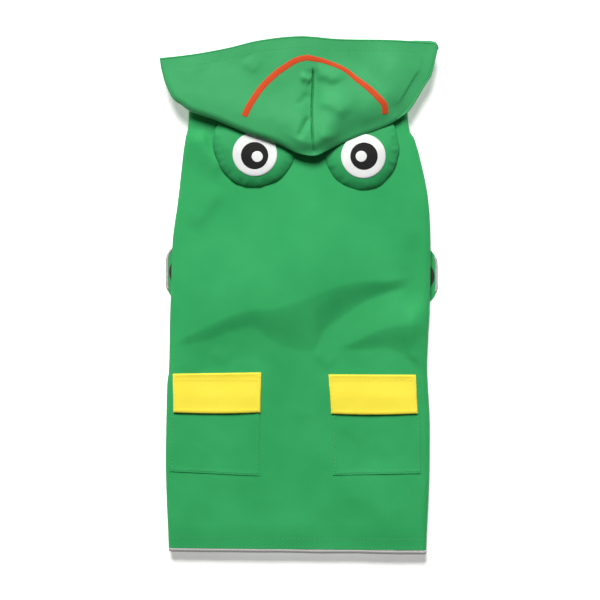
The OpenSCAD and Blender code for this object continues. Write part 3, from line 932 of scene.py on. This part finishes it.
def make_pocket(side):
    """A patch pocket with its yellow flap."""
    name = SIDE_NAMES[side]
    low, high = node_box(f"{name}_pocket")
    corners = moved_corners(low, high, POCKET_SHIFTS[side])

    def height(x, y):
        return back_height(x, y) + 0.6

    flat = corner_grid(corners, 56, 64)
    x, y = flat[..., 0], flat[..., 1]
    rows, cols = x.shape
    from_left, from_foot = np.arange(cols)[None, :], np.arange(rows)[:, None]
    edge = np.minimum(np.minimum(from_left, cols - 1 - from_left), from_foot)
    lip = 0.25 * bell(edge - 1.2, 1.1) + 0.25 * ripple(x, y, 14, 4.0 + side)
    outer = joined(x, y, height(x, y) + lip)
    pocket = cloth(f"{name}_patch_pocket", outer, flat, [green], 0.8)
    fit(pocket, "back", "green_fabric", f"{name}_pocket")
    paths = [on_surface(run, height, 0.45) for run in inset_loop(corners, 2.0, (0, 1, 3))]
    seam = stitches(f"{name}_pocket_stitches", paths, green_thread)
    fit(seam, "back", "green_fabric")
    make_flap(side)


def make_flap(side):
    """A yellow pocket flap with its band stitched down."""
    name = SIDE_NAMES[side]
    fold_y, fold_z = joint_point(f"{name}_pocket_flap_fold")[1:]
    low, high = node_box(f"{name}_pocket_flap")
    high[1] = node_box(f"{name}_flap_band")[1][1]
    corners = moved_corners(low, high, FLAP_SHIFTS[side])
    flat = corner_grid(corners, 64, 40)
    x, y = flat[..., 0].copy(), flat[..., 1].copy()
    v = np.linspace(0, 1, 40)[:, None]
    u = np.linspace(0, 1, 64)[None, :]
    free = smoothstep((fold_y + 1 - y) / 16)
    y -= 0.9 * np.sin(math.pi * u) * (1 - v) ** 2
    bow = 0.5 * free * np.sin(math.pi * u) ** 0.6
    step = 0.06 * bell(y - fold_y, 0.8)
    x -= np.sign(u - 0.5) * 0.5 * free * smoothstep((np.abs(u - 0.5) - 0.46) / 0.04)
    edge = np.minimum(80 * np.minimum(u, 1 - u), 36 * np.minimum(v, 1 - v))
    lip = 0.35 * bell(edge - 1.3, 1.2) - 0.5 * bell(edge, 0.5)
    z = back_height(x, y) + 2.1 + 0.7 * free + bow - step + lip + 0.22 * ripple(x, y, 17, 6.0 + side)
    outer = joined(x, y, z)
    flap = cloth(f"{name}_flap_cloth", outer, flat, [yellow], 1.3)
    fold = (("back", f"{name}_flap"), (0, fold_y + 1.2, fold_z), (0, fold_y - 1.2, fold_z), "yellow_fabric")
    bend(flap, *fold, f"{name}_pocket_flap", f"{name}_flap_band")

    def height(px, py):
        return surface_height(outer, px, py)

    rows = [on_surface(run, height, 0.05) for run in inset_loop(corners, 1.7, (0, 1, 2, 3))]
    across = np.linspace((corners[3][0] + 2, fold_y + 1.5), (corners[2][0] - 2, fold_y + 1.5), 60)
    rows.append(on_surface(across, height, 0.05))
    seam = stitches(f"{name}_flap_stitches", rows, yellow_thread)
    bend(seam, *fold)
    paint(f"{name}_pocket_loop", green_tape)
    paint(f"{name}_pocket_hook", yellow_tape)


def surface_height(points, x, y):
    """Height of the grid point nearest to each place."""
    flat = points.reshape(-1, 3)
    x, y = np.asarray(x, float), np.asarray(y, float)
    shape = x.shape
    place = np.stack([x.ravel(), y.ravel()], axis=1)
    out = np.empty(len(place))
    for first in range(0, len(place), 2000):
        part = place[first : first + 2000]
        d = (part[:, None, 0] - flat[None, :, 0]) ** 2 + (part[:, None, 1] - flat[None, :, 1]) ** 2
        nearest = np.argpartition(d, 4, axis=1)[:, :4]
        weight = 1 / (np.take_along_axis(d, nearest, 1) + 1e-3)
        out[first : first + 2000] = (flat[nearest, 2] * weight).sum(1) / weight.sum(1)
    return out.reshape(shape)


# ---- Hood ----

ROLL_Z = (node_box("left_hood_back")[1][2] + node_box("left_hood_front")[0][2]) / 2 + 1.5
HOOD_FLOOR = node_box("left_hood_back")[0][2]
SEAM_LINE = [(8, 233), (10, 216), (12.5, 203), (12.2, 186), (11.4, 168), (11.8, 150), (12.5, 138),
             (14, 127)]
HOOD_CORNERS = [(-125, 216), (125, 226)]
# Each crease's path, height, and widths above and below it, and for some the share where its ends fade.
HOOD_CREASES = [
    ([(13, 200), (20, 199), (29, 196), (33, 189)], 2.6, 6, 3.4),
    ([(14, 176), (22, 174), (33, 170), (44, 160)], 2.4, 8, 4.0),
    ([(0, 139), (4, 150), (10, 163)], -2.6, 2.2, 1.5),
    ([(0, 196), (6, 196), (12, 193)], 2.6, 2.4, 2.6),
    ([(9, 184), (3, 176), (-4, 170)], -1.0, 3.0, 2.0),
    ([(16, 146), (26, 142), (36, 141)], 1.2, 4.0, 3.0),
    ([(-32, 168), (-18, 160), (-8, 148)], 0.8, 9, 6, 0.35),
    ([(-49, 214), (-44, 207), (-36, 201)], 1.1, 6, 3, 0.35),
    ([(50, 160), (66, 162), (86, 168)], 1.6, 10, 8),
    ([(60, 214), (76, 208), (92, 198)], 0.8, 10, 7, 0.35),
    ([(-112, 196), (-90, 200), (-66, 200)], 0.7, 9, 7, 0.35),
]


def right_side_share(x, y):
    """1 along the hood's right side, where the cloth turns over in a broad band."""
    return smoothstep((x - 84) / 12) * smoothstep((y - 156) / 10) * smoothstep((216 - y) / 32)


def roll_height(x):
    """Height of the hood's rolled edge: up at the tip, and lower on the right."""
    return ROLL_Z + 5.4 * bell(x - 12, 14) - 2.4 * smoothstep((x - 18) / 22) - 0.8 * smoothstep((x - 82) / 16)


def from_corner(x, y):
    """Distance to the nearer of the hood's two outer corners."""
    return np.minimum(*(np.hypot(x - cx, y - cy) for cx, cy in HOOD_CORNERS))


def hood_height(x, y):
    """Height of the hood's upper side."""
    x, y = np.asarray(x, float), np.asarray(y, float)
    inside, _ = near_path(x, y, crown_edge)
    from_seam, along = near_path(x, y, smooth_path(SEAM_LINE, 120))
    roll = roll_height(x)
    slope = smoothstep((x - 18) / 22) * smoothstep((150 - x) / 50)
    plateau = 21.0 + (6 + slope) * bell(inside - 12 - 14 * slope, 22)
    corner = from_corner(x, y)
    base = roll + 1.2
    plateau = base + (plateau - base) * smoothstep(corner / 60)
    arch = np.sin(np.clip(0.1 + 1.4 * inside / 26, 0, 1.57))
    plateau = base + (plateau - base) * (1 - slope + slope * arch)
    tip = 4.6 * bell(np.hypot(x - 13, y - 142), 13)
    deep = smoothstep((along - 0.26) / 0.06) * (1 - 0.5 * smoothstep((along - 0.82) / 0.12))
    groove = -(3.0 * bell(from_seam, 0.5) + 1.7 * bell(from_seam, 4.5)) * deep
    pillow = 1.6 * bell(from_seam - 14, 8) * bell(along - 0.72, 0.22)
    puckers = sum(crease(x, y, *row) for row in HOOD_CREASES)
    band = right_side_share(x, y)
    rumple = 0.5 * ripple(x, y, 34, 12.5) + 0.2 * ripple(x, y, 13, 2.4) + 0.05 * ripple(x, y, 6, 8.8)
    soft = smoothstep(inside / 12)
    lean = -0.022 * np.clip(x - 20, 0, None) * smoothstep((corner - 10) / 60)
    top = plateau + (tip + pillow + puckers + rumple + lean) * soft + groove * smoothstep(inside / 5)
    hem = near_path(x, y, face_edge)[0]
    top -= 0.03 * bell(hem - 9.5, 1.2) * smoothstep(corner / 20)
    top -= 1.3 * band * smoothstep((13 - inside) / 2)
    return roll + (top - roll) * quarter_round(inside, 5.5 - 2.0 * slope)


def hood_columns(path, seam_x, spread):
    """Places along one of the hood's edges, at the same shares on both sides of its middle seam."""
    middle = int(np.argmin(np.hypot(path[:, 0] - seam_x, 0.3 * (path[:, 1] - 127))))
    share = path_length(path[: middle + 1]) / path_length(path)
    return places(path, np.interp(spread, [0, 0.5, 1], [0, share, 1]))


def hood_grid():
    """Places between the crown's edge and the face edge, close together at the crown's edge and the seam."""
    spread = np.concatenate([np.linspace(0, 1, 201), np.linspace(0.475, 0.525, 41)])
    spread = np.unique(spread.round(6))
    low = hood_columns(crown_edge, SEAM_LINE[-1][0], spread)
    high = hood_columns(face_edge, SEAM_LINE[0][0], spread)
    return span(low, high, np.linspace(0, 1, 96) ** 1.5)


def hood_bend(obj, slot, *nodes):
    """obj is put through bend with the hood's crown fold: its placement is baked and the CAD nodes hidden."""
    return bend(obj, ("hood_back", "hood_front"), (0, CROWN_Y - 9, 0), (0, CROWN_Y + 9, 0), slot, *nodes)


def make_hood():
    """The hood's upper layer and all that is sewn to it, then its lower layer."""
    flat = hood_grid()
    x, y = flat[..., 0], flat[..., 1]
    outer = joined(x, y, hood_height(x, y))
    top = cloth("hood_top", outer, flat, [hood_green, lining], 1.0, hem_rows=8)
    hood_bend(top, "green_fabric", "left_hood_front", "right_hood_front", "left_hood_crown",
              "right_hood_crown", "hood_front_lining")
    under, under_outer = make_hood_under()
    for side in (LEFT, RIGHT):
        make_gusset(side)
    edge = resample(face_edge, 200)
    path = np.column_stack([edge, surface_height(outer, edge[:, 0], edge[:, 1]) - 0.5])
    binding = tube("face_edge_roll", path, [hood_green], 0.9, 0.8, taper=0.6)
    hood_bend(binding, "green_fabric", "face_edge_binding")
    hem_row = face_edge[22:-24] - np.array([0, 9.2])
    seam = stitches("hood_stitches", [on_surface(hem_row, hood_height)], green_thread)
    hood_bend(seam, "green_fabric")
    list(make_mouth())
    make_neck_join(under_outer)


def under_height(x, y):
    """Height of the hood's lower layer, on its outer side, which faces down."""
    inside, _ = near_path(x, y, crown_edge)
    roll = roll_height(x)
    floor = roll - 1 + (HOOD_FLOOR + 0.1 - roll + 1) * smoothstep(from_corner(x, y) / 24)
    return roll + (floor - roll) * quarter_round(inside, 5.5 + 9 * bell(x - 12, 14))


def make_hood_under():
    """The hood's lower layer, from its rolled edge to the neck seam."""
    low = resample(crown_edge, 181)
    high = resample(face_edge, 181)
    beside = smoothstep((np.abs(high[:, 0]) - 98) / 6)
    right = smoothstep((high[:, 0] - 84) / 10)
    high[:, 1] = np.minimum(high[:, 1], NECK_Y - 0.5) * (1 - beside) + high[:, 1] * beside
    high[:, 1] += 2.0 * right * (high[:, 0] < 124)
    flat = span(low, high, np.linspace(0, 1, 60) ** 1.4)
    x, y = flat[..., 0], flat[..., 1]
    outer = joined(x, y, under_height(x, y))
    under = cloth("hood_under", outer, flat, [hood_green, lining], 0.9, flip=True, hem_rows=8)
    fit(under, "hood_back", "green_fabric", "left_hood_back", "right_hood_back", "hood_back_lining")
    return under, outer


def make_neck_join(under_outer):
    """A strip that joins the hood's lower layer to the coat's neck edge."""
    high = under_outer[-1][np.abs(under_outer[-1][:, 0]) < 97]
    low_y = below_face_edge(high[:, 0], NECK_Y - 0.4) - 0.6
    low = joined(high[:, 0], low_y, back_height(high[:, 0], low_y) + 0.06)
    outer = span(low, high, np.linspace(0, 1, 7))
    strip = cloth("neck_join", outer, outer[..., :2], [green, lining], 0.4)
    bend(strip, ("back", "hood_back"), (0, 0, BACK_Z + 0.08), (0, 0, HOOD_FLOOR + 0.08), "green_fabric")
    return strip


def make_gusset(side):
    """Cloth that joins the hood's two layers along a side and lies folded inwards while the hood is flat."""
    run = crown_edge[2:42] if side == LEFT else crown_edge[186:238]
    from_tip = np.arange(len(run)) if side == LEFT else np.arange(len(run))[::-1]
    depth = np.minimum(14, 0.5 * from_tip + 1)[:, None]
    steps = np.linspace(-1, 1, 17)
    shift = 0.4 + depth * (1 - np.abs(steps))
    points = run[:, None, :] + leftward(run)[:, None, :] * shift[..., None]
    z = roll_height(run[:, 0])[:, None] + 1.1 * steps
    outer = np.dstack([points, z])
    uv = joined(np.arange(1.0, len(run) + 1)[:, None], z * 14)
    piece = cloth(f"{SIDE_NAMES[side]}_hood_gusset", outer, uv, [hood_green], 0.25, flip=True)
    middle = float(z.mean())
    bend(piece, ("hood_back", "hood_front"), (0, 0, middle - 1), (0, 0, middle + 1), "green_fabric")


MOUTH = [(-48.8, 161.5), (-46, 168), (-42, 175), (-33.2, 187.8), (-21.5, 199.4), (-12.5, 206),
         (-3, 211.8), (7, 214.4), (10, 213.9), (23, 211), (40.5, 203.8), (52, 194.6), (63, 186),
         (73.5, 175.5), (76.8, 171), (77.2, 163.8)]


def make_mouth():
    """The orange stripe that is sewn across the hood in two halves."""
    widths = {LEFT: (2.8, 2.8, 2.8, 2.7, 2.5), RIGHT: (2.5, 2.0, 1.9, 2.2, 2.6, 2.8, 2.8)}
    whole = smooth_path(MOUTH, 161)
    split = int(np.argmin(np.abs(whole[:, 0] - 9.5)))
    halves = []
    for side, run in ((LEFT, whole[: split + 1]), (RIGHT, whole[split:])):
        across = leftward(run)
        share = np.linspace(-1, 1, 9)
        width = along_path(np.linspace(0, 1, len(run)), widths[side])[:, None]
        x = run[:, None, 0] + across[:, None, 0] * width * share
        y = run[:, None, 1] + across[:, None, 1] * width * share
        z = hood_height(x, y) + 0.42 - 0.3 * np.abs(share) ** 6
        outer = joined(x, y, z)
        uv = joined(width * share, np.linspace(0, path_length(run), len(run))[:, None])
        stripe = cloth(f"{SIDE_NAMES[side]}_mouth_tape", outer, uv, [orange], 0.5, flip=True)
        halves.append(hood_bend(stripe, "orange_fabric", f"{SIDE_NAMES[side]}_mouth_stripe"))
    return halves


# ---- Eyes ----

PAD_R = 36.0
PAD_TUCK = 7.0


def crown_line(side):
    """The line that an eye pad is sewn to: a point on it and its direction, seen from above."""
    found = [j for j in frame["joints"] if j["name"] == f"{SIDE_NAMES[side]}_eye_seam"][0]
    axis = -np.array(found["axis"][:2])
    return np.array(found["pos_m"][:2]) / MM, axis / np.linalg.norm(axis)


def ring_faces(rings, around, first, flip=False):
    """The faces between equal rings of points, from the point first on, and a fan to the point after them."""
    faces = []
    k = np.arange(around)
    after = np.roll(k, -1)
    for ring in range(rings - 1):
        a, b = first + ring * around + k, first + ring * around + after
        faces.extend(np.stack([a, b, b + around, a + around], axis=1).tolist())
    last = first + (rings - 1) * around
    faces.extend(np.stack([last + k, last + after, 0 * k + last + around], axis=1).tolist())
    return [f[::-1] for f in faces] if flip else faces


def two_sided(upper, lower, around):
    """The faces of a closed round form: upper rings and their middle, then lower rings and their middle."""
    low = upper * around + 1
    k = np.arange(around)
    after = np.roll(k, -1)
    joint = np.stack([after, k, low + k, low + after], axis=1).tolist()
    return ring_faces(upper, around, 0) + joint + ring_faces(lower, around, low, flip=True)


def make_eye(side):
    """A stuffed pad with the white, the pupil and the glint sewn on it."""
    name = SIDE_NAMES[side]
    low, high = node_box(f"{name}_eye_back")
    centre = np.array([(low[0] + high[0]) / 2, low[1] + PAD_R])
    if side == RIGHT:
        centre = centre + np.array([-1.4, -1.8])
    foot, along = crown_line(side)
    out = np.array([along[1], -along[0]])

    def edge_radius(angle):
        """How far the pad's edge is from its middle: nearly a circle, cut straight at the seam."""
        direction = joined(np.cos(angle), np.sin(angle))
        toward = -(direction @ out)
        room = (centre - foot) @ out + PAD_TUCK
        cut = np.where(toward > 1e-6, room / np.maximum(toward, 1e-6), 1e6)
        wobble = 1 + 0.008 * np.sin(5 * angle + 1.3 * side) + 0.006 * np.sin(11 * angle + side)
        if side == LEFT:
            shape = 1 + 0.1 * np.exp((np.cos(angle - 2.66) - 1) / 0.09)
        else:
            shape = 1 / np.hypot(np.cos(angle) / 0.925, np.sin(angle) / 1.03)
            shape = shape + 0.06 * np.exp((np.cos(angle - 0.75) - 1) / 0.07)
        return np.minimum(PAD_R * shape * wobble, cut)

    middle_z = low[2] + 2.6
    pad_top = 22.4
    seam_top = 17.4

    def dome(x, y):
        """Height of the pad's upper side."""
        dx, dy = x - centre[0], y - centre[1]
        angle = np.arctan2(dy, dx)
        edge = edge_radius(angle)
        r = np.hypot(dx, dy) / edge
        depth = (1 - np.clip(r, 0, 1)) * edge
        rise = (1 - np.clip(1 - depth / 15, 0, 1) ** 2.1) ** 0.72
        pucker = np.sin(13 * angle + 2.4 * np.sin(3 * angle + side)) + 0.5 * np.sin(31 * angle + 1.7)
        wrinkle = 0.34 * pucker * bell(depth - 3.0, 2.4)
        clear = dx * out[0] + dy * out[1] + (centre - foot) @ out
        top = seam_top + (pad_top - seam_top) * smoothstep((clear + 3) / 26)
        return middle_z + (top - middle_z) * rise + wrinkle + 0.4 * ripple(x, y, 15, 20.0 + side)

    angles = np.linspace(-math.pi, math.pi, 168, endpoint=False)
    radii = edge_radius(angles)
    share = 1 - np.linspace(0, 1, 30) ** 1.7
    points = []
    for upper in (True, False):
        for s in share if upper else share[1:]:
            s = max(s, 0.0)
            x = centre[0] + radii * s * np.cos(angles)
            y = centre[1] + radii * s * np.sin(angles)
            if upper:
                z = dome(x, y)
            else:
                depth = (1 - s) * radii
                drop = (1 - np.clip(1 - depth / 10, 0, 1) ** 2.2) ** 0.6
                z = middle_z - (middle_z - low[2] - 0.1) * drop
            if s == 0:
                x, y, z = x[:1], y[:1], z[:1]
            points.append(joined(x, y, z))
    faces = two_sided(len(share) - 1, len(share) - 2, len(angles))
    points = np.vstack(points)
    pad = build(f"{name}_eye_pad", points, faces, [pad_green], points[:, :2], sharp_deg=75)
    fit(pad, f"{name}_eye", "green_fabric", f"{name}_eye_front", f"{name}_eye_back", f"{name}_eye_filling")

    def disc(label, node, shift, lift, thick, material, slot):
        """A round patch that lies on the pad, at a CAD node's place."""
        box_low, box_high = node_box(node)
        radius = (box_high[0] - box_low[0]) / 2
        mid = np.array([(box_low[0] + box_high[0]) / 2, box_low[1] + radius]) + np.array(shift)
        turn = np.linspace(0, 2 * math.pi, 96, endpoint=False)
        spread = np.array([1.0, 0.985, 0.95, 0.88, 0.75, 0.6, 0.45, 0.3, 0.15])
        droop = np.array([thick, 0.35 * thick, 0.08 * thick, 0, 0, 0, 0, 0, 0])
        around = radius * joined(np.cos(turn), np.sin(turn))
        hub = np.array([[mid[0], mid[1], float(dome(mid[0], mid[1])) + lift]])
        pts = []
        for s, d in zip(spread, droop):
            pts.append(on_surface(mid + around * s, dome, lift - d))
        below = np.array([0, 0, thick + 0.3])
        rim = pts[0] + np.array([0, 0, droop[0]])
        pts.extend([hub, rim - below, hub - below])
        faces = two_sided(len(spread), 1, len(turn))
        piece = build(f"{name}_{label}", np.vstack(pts), faces, [material], sharp_deg=70)
        fit(piece, f"{name}_eye", slot, node)

    left = side == LEFT
    disc("white_patch", f"{name}_eye_white", (-0.1, -0.2) if left else (0.2, -2.0), 0.85, 0.6, white_felt,
         "white_fabric")
    disc("pupil_patch", f"{name}_pupil", (-0.3, 0.0) if left else (0.8, -0.6), 1.35, 0.5, black_felt,
         "black_fabric")
    disc("glint_patch", f"{name}_glint", (0.1, 0) if left else (0.3, 0.2), 1.75, 0.4, white_felt,
         "white_fabric")


# ---- Room ----


def make_stage():
    """A pale floor, soft light from the head's side, and the camera straight above."""
    mesh = bpy.data.meshes.new("floor")
    corners = [(FLOOR_HALF * x, FLOOR_HALF * y, 0) for x, y in ((-1, -1), (1, -1), (1, 1), (-1, 1))]
    mesh.from_pydata(corners, [], [(0, 1, 2, 3)])
    s = Shader("floor_white")
    s.set(Base_Color=(1, 1, 1, 1), Roughness=0.9, Specular_IOR_Level=0)
    s.set(Emission_Color=(1, 0.99, 0.97, 1), Emission_Strength=FLOOR_GLOW)
    mesh.materials.append(s.material)
    floor = add_object("floor", mesh)

    def lamp(name, place, size_m, watts):
        """A round soft lamp that points at the middle of the scene."""
        data = bpy.data.lights.new(name, "AREA")
        data.shape = "DISK"
        data.size = size_m
        data.energy = watts
        obj = add_object(name, data)
        obj.location = place
        obj.rotation_euler = (-Vector(place)).to_track_quat("-Z", "Y").to_euler()

    lamp("key", (-0.45, 3.3, 3.6), 2.3, 376)
    lamp("fill", (0.5, -0.6, 1.8), 1.6, 3)
    world = bpy.data.worlds.new("soft_room")
    bpy.context.scene.world = world
    world.use_nodes = True
    nodes, links = world.node_tree.nodes, world.node_tree.links
    place = nodes.new("ShaderNodeTexCoord")
    split = nodes.new("ShaderNodeSeparateXYZ")
    fade = nodes.new("ShaderNodeMapRange")
    for label, value in (("From Min", 0.05), ("From Max", 0.22), ("To Min", 1.0), ("To Max", 0.01)):
        fade.inputs[label].default_value = value
    nodes["Background"].inputs[0].default_value = (1, 1, 1, 1)
    links.new(place.outputs["Generated"], split.inputs[0])
    links.new(split.outputs[2], fade.inputs["Value"])
    links.new(fade.outputs[0], nodes["Background"].inputs[1])

    data = bpy.data.cameras.new("camera")
    data.lens = 180
    data.sensor_width = 36
    camera = add_object("camera", data)
    mid = (cad_box[0] + cad_box[1]) / 2
    distance = VIEW_WIDTH * data.lens / data.sensor_width
    camera.location = (mid[0] + VIEW_SHIFT[0] * MM, mid[1] + VIEW_SHIFT[1] * MM, (BACK_Z + distance) * MM)
    bpy.context.scene.camera = camera
    bpy.context.scene.view_settings.view_transform = "Standard"


make_stage()
back_shell, back_outer = make_back()
hem_piping = make_hem()
for each_side in (LEFT, RIGHT):
    make_side(each_side)
    make_chest(each_side)
    make_leg_edge(each_side)
    make_pocket(each_side)
    make_eye(each_side)
make_hood()

import json
